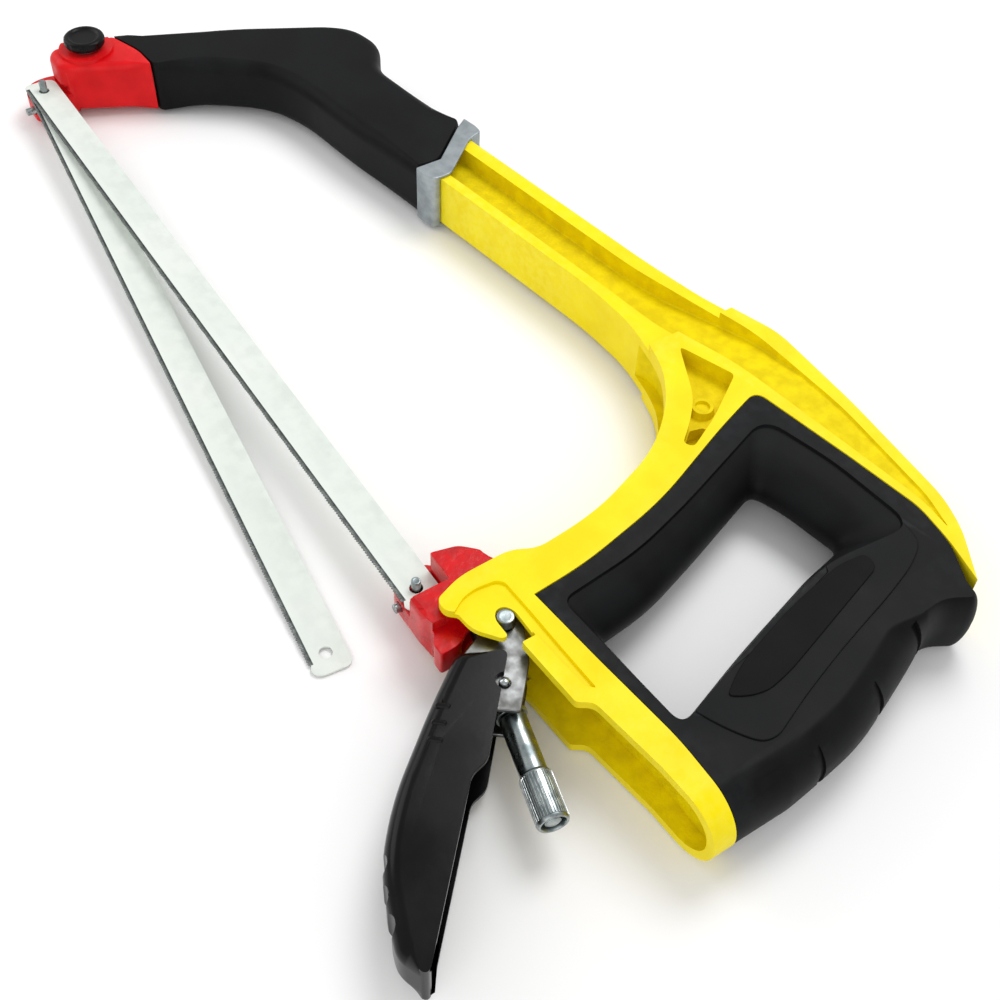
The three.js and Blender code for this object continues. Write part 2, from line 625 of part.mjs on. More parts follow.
const saw = new THREE.Group();
saw.add(
  named("frame_casting", frameCasting(), yellowPaint),
  named("handle_grip", handleGrip(), blackGrip),
  named("grip_panel_near", gripPanel(1), blackGrip),
  named("grip_panel_far", gripPanel(-1), blackGrip),
  named("nose_core", noseCore(), greyCasting),
  named("nose_roll_pin", pin(rollPin.x, rollPin.y, -7.5, 7.5, rollPin.r), zincSteel),
  named("nose_sleeve", noseSleeve(), blackGrip),
  named("front_holder", frontHolder(), redCasting),
  named("front_pin_straight", pin(0, 0, -7.5, 4.8, pinRadius), zincSteel),
  named("front_pin_angled", bar([1.5, -9.6, -6], [1.5, -2, -6], pinRadius), zincSteel),
  named("clamp_nut", clampNut(), zincSteel),
  named("knob_washer", knobWasher(), zincSteel),
  named("thumb_knob", thumbKnob(), blackKnob),
  named("knob_stud", pin(knob.x, knob.y, -9.6, knob.low + 2.8, studRadius, 16), zincSteel),
  named("blade_mounted", blade(), bladeSteel),
  spareBlade(),
  named("rear_holder", rearHolder(), redCasting),
  named("rear_pin_straight", pin(bladeSpan, 0, -7.5, 4, pinRadius), zincSteel),
  named("rear_pin_angled", bar([300.5, -8, -4.2], [300.5, -2, -4.2], pinRadius), zincSteel),
  named("drawbar_pin", pin(drawbarEye.x, drawbarEye.y, -7.4, 7.4, pinRadius), zincSteel),
  named("drawbar", drawbar(), zincSteel),
  named("thrust_washer", thrustWasher(), zincSteel),
  named("tension_nut", tensionNut(), zincSteel),
  named("trunnion", trunnionBlock(), darkSteel),
  named("lever_frame", leverFrame(), darkSteel),
  named("lever_shell", leverShell(), blackLever),
  named("hook_pin_near", hookPin(1), zincSteel),
  named("hook_pin_far", hookPin(-1), zincSteel),
);

// The origin is under the middle of the saw, on the surface it lies on.
const box = new THREE.Box3().setFromObject(saw);
const centre = box.getCenter(new THREE.Vector3());
saw.position.set(-centre.x, -centre.y, -box.min.z);

const root = new THREE.Group();
root.add(saw);
export default root;
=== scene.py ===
import math

import bmesh
import bpy
from mathutils import Matrix, Quaternion, Vector


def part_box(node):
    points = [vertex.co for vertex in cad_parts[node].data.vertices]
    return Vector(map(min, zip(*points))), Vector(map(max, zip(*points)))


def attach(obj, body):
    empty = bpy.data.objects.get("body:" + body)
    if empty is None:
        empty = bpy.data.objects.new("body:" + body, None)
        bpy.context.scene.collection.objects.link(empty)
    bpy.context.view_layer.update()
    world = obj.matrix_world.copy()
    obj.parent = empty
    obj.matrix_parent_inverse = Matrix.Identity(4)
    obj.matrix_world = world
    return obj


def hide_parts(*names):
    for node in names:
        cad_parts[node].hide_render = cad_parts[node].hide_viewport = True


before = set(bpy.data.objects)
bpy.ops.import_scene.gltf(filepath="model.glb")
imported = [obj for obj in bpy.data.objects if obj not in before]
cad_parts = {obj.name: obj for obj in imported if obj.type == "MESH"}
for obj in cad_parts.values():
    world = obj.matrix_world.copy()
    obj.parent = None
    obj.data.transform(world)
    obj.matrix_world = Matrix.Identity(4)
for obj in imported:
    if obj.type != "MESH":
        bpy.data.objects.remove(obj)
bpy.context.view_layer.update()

# Places are in millimetres from the front blade pin: x along the mounted blade, y towards the
# beam, z through the saw from its middle.
millimetre = 0.001
pinLow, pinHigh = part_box("front_pin_straight")
bladeLow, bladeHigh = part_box("blade_mounted")
sawOrigin = Vector(((pinLow.x + pinHigh.x) / 2, (pinLow.y + pinHigh.y) / 2, (bladeLow.z + bladeHigh.z) / 2))


def at(x, y, z=0.0):
    return sawOrigin + Vector((x, y, z)) * millimetre


# Camera and studio

cameraSet = {"place": (509.2, -118.0, 324.7), "heading": 144.93, "down": 49.75, "roll": 2.65, "lens": 48.83}
studio = {
    "floor": 0.94, "world": 0.64,
    "lights": {
        "keyLight": {"place": (120, 420, 700), "aim": (210, 50, 0), "size": 0.45, "power": 3.1},
        "fillLight": {"place": (760, -420, 420), "aim": (260, 40, 0), "size": 0.8, "power": 1.6},
        "edgeLight": {"place": (-380, -260, 380), "aim": (120, 60, 0), "size": 0.5, "power": 0.9},
    },
}


def makeCamera():
    data = bpy.data.cameras.new("camera")
    data.lens = cameraSet["lens"]
    data.sensor_width = 36
    data.clip_start = 0.01
    camera = bpy.data.objects.new("camera", data)
    bpy.context.scene.collection.objects.link(camera)
    heading = math.radians(cameraSet["heading"])
    down = math.radians(cameraSet["down"])
    look = Vector((math.cos(heading) * math.cos(down), math.sin(heading) * math.cos(down), -math.sin(down)))
    roll = Quaternion((0, 0, 1), math.radians(cameraSet["roll"]))
    camera.location = at(*cameraSet["place"])
    camera.rotation_mode = "QUATERNION"
    camera.rotation_quaternion = look.to_track_quat("-Z", "Y") @ roll
    bpy.context.scene.camera = camera


def makeLight(name, place, aim, size, power):
    data = bpy.data.lights.new(name, "AREA")
    data.shape = "DISK"
    data.size = size
    data.energy = power
    light = bpy.data.objects.new(name, data)
    bpy.context.scene.collection.objects.link(light)
    light.location = at(*place)
    light.rotation_mode = "QUATERNION"
    light.rotation_quaternion = (at(*aim) - light.location).to_track_quat("-Z", "Y")


def makeStudio():
    side = 6
    floorMesh = bpy.data.meshes.new("floor")
    corners = [(-side, -side, 0), (side, -side, 0), (side, side, 0), (-side, side, 0)]
    floorMesh.from_pydata(corners, [], [(0, 1, 2, 3)])
    floor = bpy.data.objects.new("floor", floorMesh)
    bpy.context.scene.collection.objects.link(floor)
    paper = bpy.data.materials.new("paper")
    paper.use_nodes = True
    paperShader = paper.node_tree.nodes["Principled BSDF"]
    paperShader.inputs["Base Color"].default_value = (studio["floor"],) * 3 + (1,)
    paperShader.inputs["Roughness"].default_value = 0.95
    paperShader.inputs["Specular IOR Level"].default_value = 0.1
    floorMesh.materials.append(paper)
    world = bpy.data.worlds.new("studio")
    world.use_nodes = True
    world.node_tree.nodes["Background"].inputs["Color"].default_value = (1, 1, 1, 1)
    world.node_tree.nodes["Background"].inputs["Strength"].default_value = studio["world"]
    bpy.context.scene.world = world
    for name, light in studio["lights"].items():
        makeLight(name, light["place"], light["aim"], light["size"], light["power"])
    bpy.context.scene.view_settings.view_transform = "Standard"


makeCamera()
makeStudio()
print("camera and studio made")


# Finishes. Colours are 0 to 255; patch, grain and depth are in millimetres.

finishes = {
    "yellowPaint": {
        "colour": (247, 226, 0), "second": (241, 217, 0),
        "patch": 14, "grain": 0.7, "bump": 0.4, "depth": 0.14,
        "rough": (0.34, 0.5), "coat": 0.0, "worn": (252, 240, 90), "wear": 0.3, "gloss": 0.14,
    },
    # Darker yellow for the recessed web, pocket, channel and scoop: partly the rougher cast surface, partly
    # painted shade for these recesses.
    "yellowCastShaded": {
        "colour": (238, 217, 0), "second": (222, 199, 2),
        "patch": 5, "grain": 1.0, "bump": 0.6, "depth": 0.22,
        "rough": (0.48, 0.64), "coat": 0.0, "worn": (190, 172, 30), "wear": 0.25, "gloss": 0.1,
    },
    "gripRubber": {
        "colour": (13, 13, 14), "second": (21, 22, 23),
        "patch": 22, "grain": 0.35, "bump": 0.3, "depth": 0.06,
        "rough": (0.44, 0.6), "coat": 0.0, "worn": (58, 60, 62), "wear": 0.3, "gloss": 0.1,
    },
    "gripInsert": {
        "colour": (10, 10, 11), "second": (16, 16, 17),
        "patch": 16, "grain": 0.3, "bump": 0.2, "depth": 0.05,
        "rough": (0.5, 0.64), "coat": 0.0, "worn": (52, 54, 56), "wear": 0.35, "gloss": 0.08,
    },
    "redPaint": {
        "colour": (222, 18, 24), "second": (208, 10, 18),
        "patch": 9, "grain": 0.9, "bump": 0.22, "depth": 0.1,
        "rough": (0.3, 0.45), "coat": 0.06, "worn": (240, 72, 66), "wear": 0.3, "gloss": 0.16,
    },
    "redGloss": {
        "colour": (214, 10, 18), "second": (182, 4, 12),
        "patch": 5, "grain": 2.4, "bump": 0.5, "depth": 0.3,
        "rough": (0.16, 0.3), "coat": 0.2, "worn": (240, 84, 76), "wear": 0.35, "gloss": 0.22,
    },
    "greyCast": {
        "colour": (168, 176, 180), "second": (142, 150, 154),
        "patch": 6, "grain": 0.8, "bump": 0.5, "depth": 0.12,
        "rough": (0.4, 0.58), "metal": 0.75, "coat": 0.0, "worn": (206, 210, 212), "wear": 0.5,
    },
    "zincPlate": {
        "colour": (172, 180, 180), "second": (120, 130, 132),
        "patch": 4, "grain": 0.5, "bump": 0.18, "depth": 0.05,
        "rough": (0.2, 0.42), "metal": 1, "coat": 0.0, "worn": (228, 230, 228), "wear": 0.6,
    },
    "pressedSteel": {
        "colour": (132, 134, 134), "second": (92, 92, 90),
        "patch": 5, "grain": 0.6, "bump": 0.3, "depth": 0.06,
        "rough": (0.28, 0.5), "metal": 1, "coat": 0.0, "worn": (226, 228, 226), "wear": 0.8,
    },
    "bladeEnamel": {
        "colour": (228, 234, 227), "second": (220, 228, 221),
        "patch": 28, "grain": 0.4, "bump": 0.12, "depth": 0.03,
        "rough": (0.32, 0.46), "metal": 0.0, "coat": 0.15, "worn": (150, 156, 150), "wear": 0.25,
    },
    "toothSteel": {
        "colour": (92, 98, 96), "second": (58, 62, 62),
        "patch": 1.6, "grain": 0.4, "bump": 0.4, "depth": 0.04,
        "rough": (0.3, 0.5), "metal": 0.9, "coat": 0.0, "worn": (190, 196, 192), "wear": 0.6,
    },
    "leverGloss": {
        "colour": (4, 4, 5), "second": (8, 8, 9),
        "patch": 18, "grain": 1.6, "bump": 0.12, "depth": 0.06,
        "rough": (0.14, 0.26), "coat": 0.03, "worn": (44, 44, 46), "wear": 0.3, "gloss": 0.16,
    },
    "knobPlastic": {
        "colour": (7, 7, 8), "second": (12, 12, 13),
        "patch": 5, "grain": 0.4, "bump": 0.2, "depth": 0.04,
        "rough": (0.26, 0.4), "coat": 0.0, "worn": (52, 52, 54), "wear": 0.4, "gloss": 0.16,
    },
}


def linear(colour):
    return tuple(v / 255 / 12.92 if v < 11 else ((v / 255 + 0.055) / 1.055) ** 2.4 for v in colour) + (1,)


def makeFinish(
        name, colour, second, patch, grain, bump, depth, rough, coat, worn, wear, metal=0.0, gloss=0.4):
    made = bpy.data.materials.new(name)
    made.use_nodes = True
    nodes, links = made.node_tree.nodes, made.node_tree.links
    shader = nodes["Principled BSDF"]
    shader.inputs["Metallic"].default_value = metal
    shader.inputs["Coat Weight"].default_value = coat
    shader.inputs["Coat Roughness"].default_value = 0.22
    shader.inputs["Specular IOR Level"].default_value = gloss
    place = nodes.new("ShaderNodeTexCoord")

    def noise(size, detail):
        texture = nodes.new("ShaderNodeTexNoise")
        texture.inputs["Scale"].default_value = 1 / (size * millimetre)
        texture.inputs["Detail"].default_value = detail
        links.new(place.outputs["Object"], texture.inputs["Vector"])
        return texture

    def spread(source, low, high, start, end):
        ramp = nodes.new("ShaderNodeMapRange")
        ramp.inputs["From Min"].default_value = start
        ramp.inputs["From Max"].default_value = end
        ramp.inputs["To Min"].default_value = low
        ramp.inputs["To Max"].default_value = high
        links.new(source, ramp.inputs["Value"])
        return ramp.outputs["Result"]

    def blend(share, first, other):
        mix = nodes.new("ShaderNodeMix")
        mix.data_type = "RGBA"
        links.new(share, mix.inputs[0])
        if isinstance(first, tuple):
            mix.inputs[6].default_value = first
        else:
            links.new(first, mix.inputs[6])
        mix.inputs[7].default_value = other
        return mix.outputs[2]

    patches = noise(patch, 4)
    fine = noise(grain, 3)
    mottled = blend(spread(patches.outputs["Fac"], 0, 1, 0.36, 0.64), linear(colour), linear(second))
    # Edges and corners rub to a paler tone where the surface turns sharply.
    geometry = nodes.new("ShaderNodeNewGeometry")
    edge = spread(geometry.outputs["Pointiness"], 0, wear, 0.53, 0.62)
    breakUp = nodes.new("ShaderNodeMath")
    breakUp.operation = "MULTIPLY"
    links.new(edge, breakUp.inputs[0])
    links.new(spread(noise(patch / 5, 3).outputs["Fac"], 0.2, 1, 0.4, 0.6), breakUp.inputs[1])
    links.new(blend(breakUp.outputs["Value"], mottled, linear(worn)), shader.inputs["Base Color"])
    links.new(spread(patches.outputs["Fac"], rough[0], rough[1], 0.3, 0.7), shader.inputs["Roughness"])
    relief = nodes.new("ShaderNodeBump")
    relief.inputs["Strength"].default_value = bump
    relief.inputs["Distance"].default_value = depth * millimetre
    links.new(fine.outputs["Fac"], relief.inputs["Height"])
    links.new(relief.outputs["Normal"], shader.inputs["Normal"])
    return made


finish = {name: makeFinish(name, **look) for name, look in finishes.items()}
print("finishes made")


# Outlines and solids


# A closed outline from corners (x, y, reach), anticlockwise. A corner with a reach is rounded, from
# that far along each of its sides.
def outline(corners, steps=7):
    points = []
    for i, corner in enumerate(corners):
        here = Vector(corner[:2])
        before = Vector(corners[i - 1][:2]) - here
        after = Vector(corners[(i + 1) % len(corners)][:2]) - here
        reach = min(corner[2] if len(corner) > 2 else 0, before.length / 2, after.length / 2)
        if reach < 0.01:
            points.append(here)
            continue
        start = here + before.normalized() * reach
        end = here + after.normalized() * reach
        for k in range(steps + 1):
            t = k / steps
            points.append(start * (1 - t) ** 2 + here * 2 * t * (1 - t) + end * t ** 2)
    points = [p for i, p in enumerate(points) if (p - points[i - 1]).length > 0.01]
    area = sum(a.x * b.y - b.x * a.y for a, b in zip(points, points[1:] + points[:1]))
    return points if area > 0 else points[::-1]


# Points moved inwards, by amount times weight(x, y).
def inset(points, amount, weight=None):
    moved = []
    for i, p in enumerate(points):
        before = (p - points[i - 1]).normalized()
        after = (points[(i + 1) % len(points)] - p).normalized()
        normal = Vector((-before.y - after.y, before.x + after.x)).normalized()
        spreadOut = max(0.5, normal.dot(Vector((-before.y, before.x))))
        share = weight(p.x, p.y) if weight else 1
        moved.append(p + normal * (amount * share / spreadOut))
    return moved


def smoothstep(value, low, high):
    t = min(1, max(0, (value - low) / (high - low)))
    return t * t * (3 - 2 * t)


def addPiece(name, shape, surface=None):
    mesh = bpy.data.meshes.new(name)
    shape.to_mesh(mesh)
    shape.free()
    if surface:
        mesh.materials.append(surface)
    made = bpy.data.objects.new(name, mesh)
    bpy.context.scene.collection.objects.link(made)
    return made


# A closed solid through rings of points, each ring at its own height z.
def stack(name, rings, surface=None):
    shape = bmesh.new()
    layers = [[shape.verts.new(at(p.x, p.y, z)) for p in points] for z, points in rings]
    for low, high in zip(layers, layers[1:]):
        for i in range(len(low)):
            shape.faces.new((low[i - 1], low[i], high[i], high[i - 1]))
    shape.faces.new(layers[0][::-1])
    shape.faces.new(layers[-1])
    return addPiece(name, shape, surface)


def slab(corners, low, high, surface=None, name="tool", steps=7):
    points = outline(corners, steps)
    return stack(name, [(low, points), (high, points)], surface)


# A slab from -half to half whose edges are rounded with a radius, where weight says so.
def pillow(name, corners, half, radius, surface, weight=None, levels=7, steps=7):
    points = outline(corners, steps)
    upper = []
    for i in range(levels + 1):
        angle = math.pi / 2 * i / levels
        ring = inset(points, radius * (1 - math.cos(angle)), weight)
        upper.append((half - radius + radius * math.sin(angle), ring))
    lower = [(-z, ring) for z, ring in reversed(upper)]
    return stack(name, lower + upper, surface)


# A prism along y whose outline lies in the x and z directions.
def crossSlab(points, low, high, surface=None):
    shape = bmesh.new()
    ends = [[shape.verts.new(at(x, y, z)) for x, z in points] for y in (low, high)]
    for i in range(len(points)):
        shape.faces.new((ends[0][i - 1], ends[1][i - 1], ends[1][i], ends[0][i]))
    shape.faces.new(ends[0])
    shape.faces.new(ends[1][::-1])
    bmesh.ops.recalc_face_normals(shape, faces=shape.faces)
    return addPiece("tool", shape, surface)


def along(start, end):
    axis = Vector(end) - Vector(start)
    middle = (Vector(start) + Vector(end)) / 2
    return Matrix.Translation(at(*middle)) @ axis.to_track_quat("Z", "Y").to_matrix().to_4x4(), axis.length


def bar(start, end, radius, surface=None, sides=40, name="tool"):
    place, length = along(start, end)
    shape = bmesh.new()
    bmesh.ops.create_cone(
        shape, cap_ends=True, segments=sides, radius1=radius * millimetre, radius2=radius * millimetre,
        depth=length * millimetre, matrix=place)
    return addPiece(name, shape, surface)


# A copy turned over to the saw's other side.
def overleaf(tool):
    shape = bmesh.new()
    shape.from_mesh(tool.data)
    for vertex in shape.verts:
        vertex.co.z = 2 * sawOrigin.z - vertex.co.z
    bmesh.ops.reverse_faces(shape, faces=shape.faces)
    return addPiece("tool", shape, tool.data.materials[0] if tool.data.materials else None)


def applyStack(made):
    bpy.context.view_layer.update()
    graph = bpy.context.evaluated_depsgraph_get()
    done = bpy.data.meshes.new_from_object(made.evaluated_get(graph))
    made.modifiers.clear()
    made.data = done
    return made


# How far a bevel on an edge may reach beside it, as far as another edge from the same point allows.
def sideRoom(edge, other, vertex):
    way = (edge.other_vert(vertex).co - vertex.co).normalized()
    branch = other.other_vert(vertex).co - vertex.co
    turn = branch.normalized().dot(way)
    if other == edge or turn < -0.8:
        return 1
    return branch.length * math.sqrt(max(0, 1 - turn ** 2))


# Merges stray points and gives each sharp edge a bevel no wider than it has room for.
def roundEdges(made, width, segments=3, angle=30):
    shape = bmesh.new()
    shape.from_mesh(made.data)
    bmesh.ops.remove_doubles(shape, verts=shape.verts, dist=0.02 * millimetre)
    bmesh.ops.dissolve_degenerate(shape, edges=shape.edges, dist=0.01 * millimetre)
    bmesh.ops.dissolve_limit(
        shape, angle_limit=math.radians(0.25), verts=shape.verts, edges=shape.edges, delimit={"MATERIAL"})
    weights = shape.edges.layers.float.new("bevel_weight_edge")
    for edge in shape.edges:
        if len(edge.link_faces) != 2 or edge.calc_face_angle() < math.radians(angle):
            continue
        room = [sideRoom(edge, other, vertex) for vertex in edge.verts for other in vertex.link_edges]
        edge[weights] = min(1, 0.4 * min(room) / (width * millimetre))
    shape.to_mesh(made.data)
    shape.free()
    bevel = made.modifiers.new("bevel", "BEVEL")
    bevel.width = width * millimetre
    bevel.segments = segments
    bevel.limit_method = "WEIGHT"
    bevel.use_clamp_overlap = False
    # The bevel is narrowed while it reaches out of the piece's own box.
    plain = extent(made.data)
    for attempt in range(4):
        bpy.context.view_layer.update()
        rounded = made.evaluated_get(bpy.context.evaluated_depsgraph_get())
        grown = max(a - b for a, b in zip(extent(rounded.data), plain))
        if grown < 0.05 * millimetre:
            return
        bevel.width *= 0.5
    made.modifiers.remove(bevel)


def extent(mesh):
    places = [vertex.co for vertex in mesh.vertices]
    return [max(p[k] for p in places) for k in range(3)] + [max(-p[k] for p in places) for k in range(3)]


def softened(tool, width):
    roundEdges(tool, width, 4)
    return applyStack(tool)


def combine(body, operation, *tools):
    for tool in tools:
        if not tool.data.materials and body.data.materials:
            tool.data.materials.append(body.data.materials[0])
        before = body.data
        for solver in ("MANIFOLD", "EXACT"):
            join = body.modifiers.new("join", "BOOLEAN")
            join.operation = operation
            join.solver = solver
            join.material_mode = "TRANSFER"
            join.object = tool
            applyStack(body)
            if body.data.polygons:
                break
            print("empty", body.name, operation, solver)
            body.data = before
        bpy.data.objects.remove(tool)
    return body


def cut(body, *tools):
    return combine(body, "DIFFERENCE", *tools)


def cutBothSides(body, *tools):
    return cut(body, *[overleaf(tool) for tool in tools], *tools)


# A profile (radius, distance) from its top end down, turned about the axis from start to end.
def turned(name, profile, start, end, surface, steps=48):
    shape = bmesh.new()
    points = [shape.verts.new(Vector((radius, 0, height)) * millimetre) for radius, height in profile]
    for low, high in zip(points, points[1:]):
        shape.edges.new((low, high))
    made = addPiece(name, shape, surface)
    screw = made.modifiers.new("screw", "SCREW")
    screw.steps = steps
    screw.render_steps = steps
    screw.use_merge_vertices = True
    screw.merge_threshold = 0.002 * millimetre
    applyStack(made)
    place, length = along(start, end)
    made.data.transform(place @ Matrix.Translation((0, 0, -length / 2 * millimetre)))
    shape = bmesh.new()
    shape.from_mesh(made.data)
    bmesh.ops.remove_doubles(shape, verts=shape.verts, dist=0.002 * millimetre)
    bmesh.ops.recalc_face_normals(shape, faces=shape.faces)
    shape.to_mesh(made.data)
    shape.free()
    return made


# The CAD node's own shape, merged into plain faces so that its edges can be rounded.
def fromNode(name, node, surface):
    shape = bmesh.new()
    shape.from_mesh(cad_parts[node].data)
    bmesh.ops.remove_doubles(shape, verts=shape.verts, dist=0.004 * millimetre)
    bmesh.ops.dissolve_limit(
        shape, angle_limit=math.radians(0.25), verts=shape.verts, edges=shape.edges)
    return addPiece(name, shape, surface)


# Rounds the edges, shades the piece, attaches it to its body and hides the CAD node it replaces.
def settle(made, body, node, edge=0.5):
    if edge:
        roundEdges(made, edge)
    made.data.shade_smooth()
    made.data.set_sharp_from_angle(angle=math.radians(38))
    weighted = made.modifiers.new("weighted", "WEIGHTED_NORMAL")
    weighted.keep_sharp = True
    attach(made, body)
    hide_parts(node)
    print(made.name, len(made.data.polygons))
    return made


# Frame casting

casting = {
    "slope": 8.9, "low": 79, "high": 103.9, "beamHalf": 10.25, "half": 12.75, "channelHalf": 9.75,
    "roundFrom": 401, "tongueHalf": 5, "coreHalf": 4.5,
}


# Height of a line parallel to the beam, square distance away from the front pin.
def beamLine(x, distance):
    slope = math.radians(casting["slope"])
    return (distance + x * math.sin(slope)) / math.cos(slope)


insertBorder = [
    (390.5, 134.6), (376, 139.3, 4), (362, 141, 4), (336, 137, 4), (297.5, 130.2, 5), (304.5, 110, 8),
    (318.7, 75, 12), (326, 42, 12), (327.5, 22.9), (356, 25.6, 4), (387, 29, 6), (415, 28.8),
]
hookSlot = [
    (339.4, 15.4), (331.5, 15.5, 2), (328.4, 15.4, 2), (325.8, 13.6, 2), (325.8, 10.9, 2),
    (328.4, 9.1, 2), (335, 9.2, 1),
]
handleCorners = [
    (262, 113.7), (262, 149.3), (280, 155, 6), (318, 153.8, 6), (363, 150, 6), (375, 145.8, 5),
    (391.4, 135.6), *insertBorder[1:], (415, 21.6), (391, 20.1), (366, 16.6, 2),
    (363.2, 12.4, 1), (339.4, 10.9, 0.6), *hookSlot, (335, 7.4, 2), (328, 1.8, 4), (321.5, 1.2, 1),
    (319, -1.8, 2), (314.6, -1.6, 2), (311, 8, 4), (310.4, 26, 4), (314.3, 33, 6), (312, 56, 14),
    (301, 86, 12), (287, 102, 10), (274, 110.5, 6),
]
coreCorners = [
    (376, 142), (384, 118, 12), (386, 96, 12), (392, 62, 10), (394, 26), (406, 26), (404, 62, 10),
    (396, 92, 12), (389.5, 112, 10), (387.5, 137),
]


# Everything inside the handle's plan, which ends in a half circle at the channel's rear end.
def roundedEnd(half):
    middle = casting["roundFrom"]
    arc = [math.pi * (i / 28 - 0.5) for i in range(29)]
    points = [(0, -20), (middle - 4, -20), (middle - 4, -half - 0.5)]
    points += [(middle + half * math.cos(a), half * math.sin(a)) for a in arc]
    points += [(middle - 4, half + 0.5), (middle - 4, 20), (0, 20)]
    return crossSlab(points, -40, 180)


# The shallow web between the flanges of beam and top strip, with a floor that rises to the rear.
def beamPanel(surface):
    plan = slab([
        (100, beamLine(100, 83.2)), (228, beamLine(228, 83.2), 8), (254, 123.4, 8), (284, 133, 8),
        (300, 135.4, 6), (360, 143.6, 5), (373, 142.6, 2), (360, 146.2, 4), (318, 149.6, 8),
        (276, 148, 8), (252, 141.6, 8), (225, beamLine(225, 98.1), 8), (100, beamLine(100, 98.1)),
    ], 0, 20, surface)
    floor = [(90, 3.6), (240, 3.6), (300, 11.4), (380, 11.8), (380, 20), (90, 20)]
    return softened(combine(plan, "INTERSECT", crossSlab(floor, 60, 180, surface)), 1.2)


# The pocket in the corner over the throat, with its ring boss and a deeper lower end.
def cornerPocket(surface):
    plan = slab([
        (268, 121.8, 2.5), (288.2, 129.2, 2), (300, 111, 5), (306.6, 97.6, 3), (303.5, 95.6, 2),
        (297.6, 103, 6), (289.5, 111, 8),
    ], 6.4, 20, surface)
    boss = turned("tool", [(0, 8.0), (2.3, 8.0), (2.5, 9.1), (3.6, 9.1), (4.4, 6), (0, 6)],
                  (291.6, 113.6, 0), (291.6, 113.6, 1), surface, 32)
    plan = cut(plan, boss)
    deep = slab([
        (296.4, 104.8, 1), (303.4, 96.2, 1.5), (306.2, 97.2, 1.5), (300.2, 110.2, 1), (297.6, 109.6, 1),
    ], 1.5, 12, surface)
    return combine(plan, "UNION", deep)


# The step around the hook, up to the ridge under the black insert and down to the tab's lip.
def hookStep():
    return slab([
        (323.2, -3), (319.6, 2.2, 2), (317.7, 5.6, 2), (317, 10.3, 2), (317.8, 16.6, 1.5), (319.8, 18.2, 1),
        (332.5, 18.8, 8), (345, 19.1, 8), (362.6, 19.8, 1), (360.4, 17.5, 1), (349.2, 16.4, 6),
        (338.1, 15.6), (336, 13), (338, 6), (333, -3),
    ], 11.65, 16)


def makeFrameCasting():
    # The recesses get the darker yellow finish, which is partly painted shade.
    paint, shadedCast = finish["yellowPaint"], finish["yellowCastShaded"]
    half, beamHalf, channelHalf = casting["half"], casting["beamHalf"], casting["channelHalf"]
    low, high = casting["low"], casting["high"]
    body = slab(handleCorners, -half, half, paint, "frameCasting")
    combine(body, "INTERSECT", roundedEnd(half))
    beam = slab([
        (140, beamLine(140, low)), (225, beamLine(225, low), 10), (248, 116.2, 8), (268, 112.4),
        (268, 151.2), (250, 145.6, 6), (225, beamLine(225, high), 8), (123, beamLine(123, high)),
        (125.6, beamLine(125.6, high - 1.5)), (140, 108.5),
    ], -beamHalf, beamHalf)
    tongue = slab([
        (102, beamLine(102, 85)), (145, beamLine(145, 85)),
        (145, beamLine(145, 98)), (102, beamLine(102, 98)),
    ], -casting["tongueHalf"], casting["tongueHalf"])
    core = slab(coreCorners, -casting["coreHalf"], casting["coreHalf"])
    combine(body, "UNION", beam, tongue, core)
    channel = slab([
        (290, -14), (290, 26.6), (315, 26.6, 3), (329, 20.9, 3), (345, 22.6), (356, 23.5), (387, 26.7, 4),
        (420, 26.7), (420, -14),
    ], -channelHalf, channelHalf, shadedCast)
    combine(channel, "INTERSECT", roundedEnd(channelHalf))
    scoop = slab([
        (250, 112), (268, 108, 6), (286, 98), (290, 101.5), (276, 113.5, 6), (262, 117.5, 6),
    ], -7, 7, shadedCast)
    cutBothSides(body, beamPanel(shadedCast), cornerPocket(shadedCast), hookStep())
    cut(body, channel, scoop)
    settle(body, "frame", "frame_casting", 0.55)


makeFrameCasting()
print("frame casting made")


# Handle

grip = {"half": 12.5, "back": 12.9, "gap": 0.3, "pad": 0.5}
openingAtFace = [
    (333.5, 29, 4), (330.5, 58, 10), (323.5, 82, 10), (308.5, 124.5, 8), (334, 131, 8), (366, 134, 8),
    (363, 101, 10), (374, 62, 10), (384, 32.8, 5),
]
openingAtMiddle = [
    (345, 33.5, 4), (342.6, 54, 8), (335.5, 76, 8), (323.5, 109.5, 4), (334, 113.5, 4), (356, 117.5, 5),
    (360.5, 100, 7), (372, 62, 10), (381.5, 34.8, 6),
]
gripCorners = [
    (390.2, 134), *insertBorder[1:-1], (414, 28.8), (414, 45, 10), (412.2, 60, 10), (409.8, 76, 10),
    (404.8, 90, 8), (399.3, 104, 6), (392.6, 120, 5), (398.6, 130, 4), (396.2, 135, 3),
]
panelCorners = [
    (366, 104, 3), (367, 114, 4), (372.6, 113.4, 4), (380.8, 87, 12), (386.6, 68, 8), (388.2, 59, 5),
    (386.8, 53, 4), (383.6, 48, 2), (379.6, 54, 6), (376.4, 61, 8), (369.8, 83, 10),
]
padCorners = [
    (340, 130.2, 3), (341.2, 127, 3), (347, 112, 6), (366, 100), (376, 62), (380, 37, 2), (388.2, 40.1, 5),
    (395.2, 44, 4), (399.6, 47.4, 4), (400.3, 52.4, 6), (395.1, 65.4, 10), (388, 86.8, 12), (382.1, 109, 12),
    (377.4, 123, 6), (372.4, 131.4, 4), (362, 132.6, 6),
]
notches = [(412.2, 60.2, 98), (405.5, 88, 110), (396.6, 111.2, 112)]  # x, y and the back's direction there


def openingPoints(share):
    blended = [
        tuple(a + share * (b - a) for a, b in zip(face, middle))
        for face, middle in zip(openingAtFace, openingAtMiddle)
    ]
    return outline(blended, 8)


# Where the grip's edges are rounded: along its rear, less at the horn.
def behindGrip(x, y):
    return smoothstep(x, 386, 396) * smoothstep(y, 29, 46) * (1 - 0.7 * smoothstep(y, 104, 118))


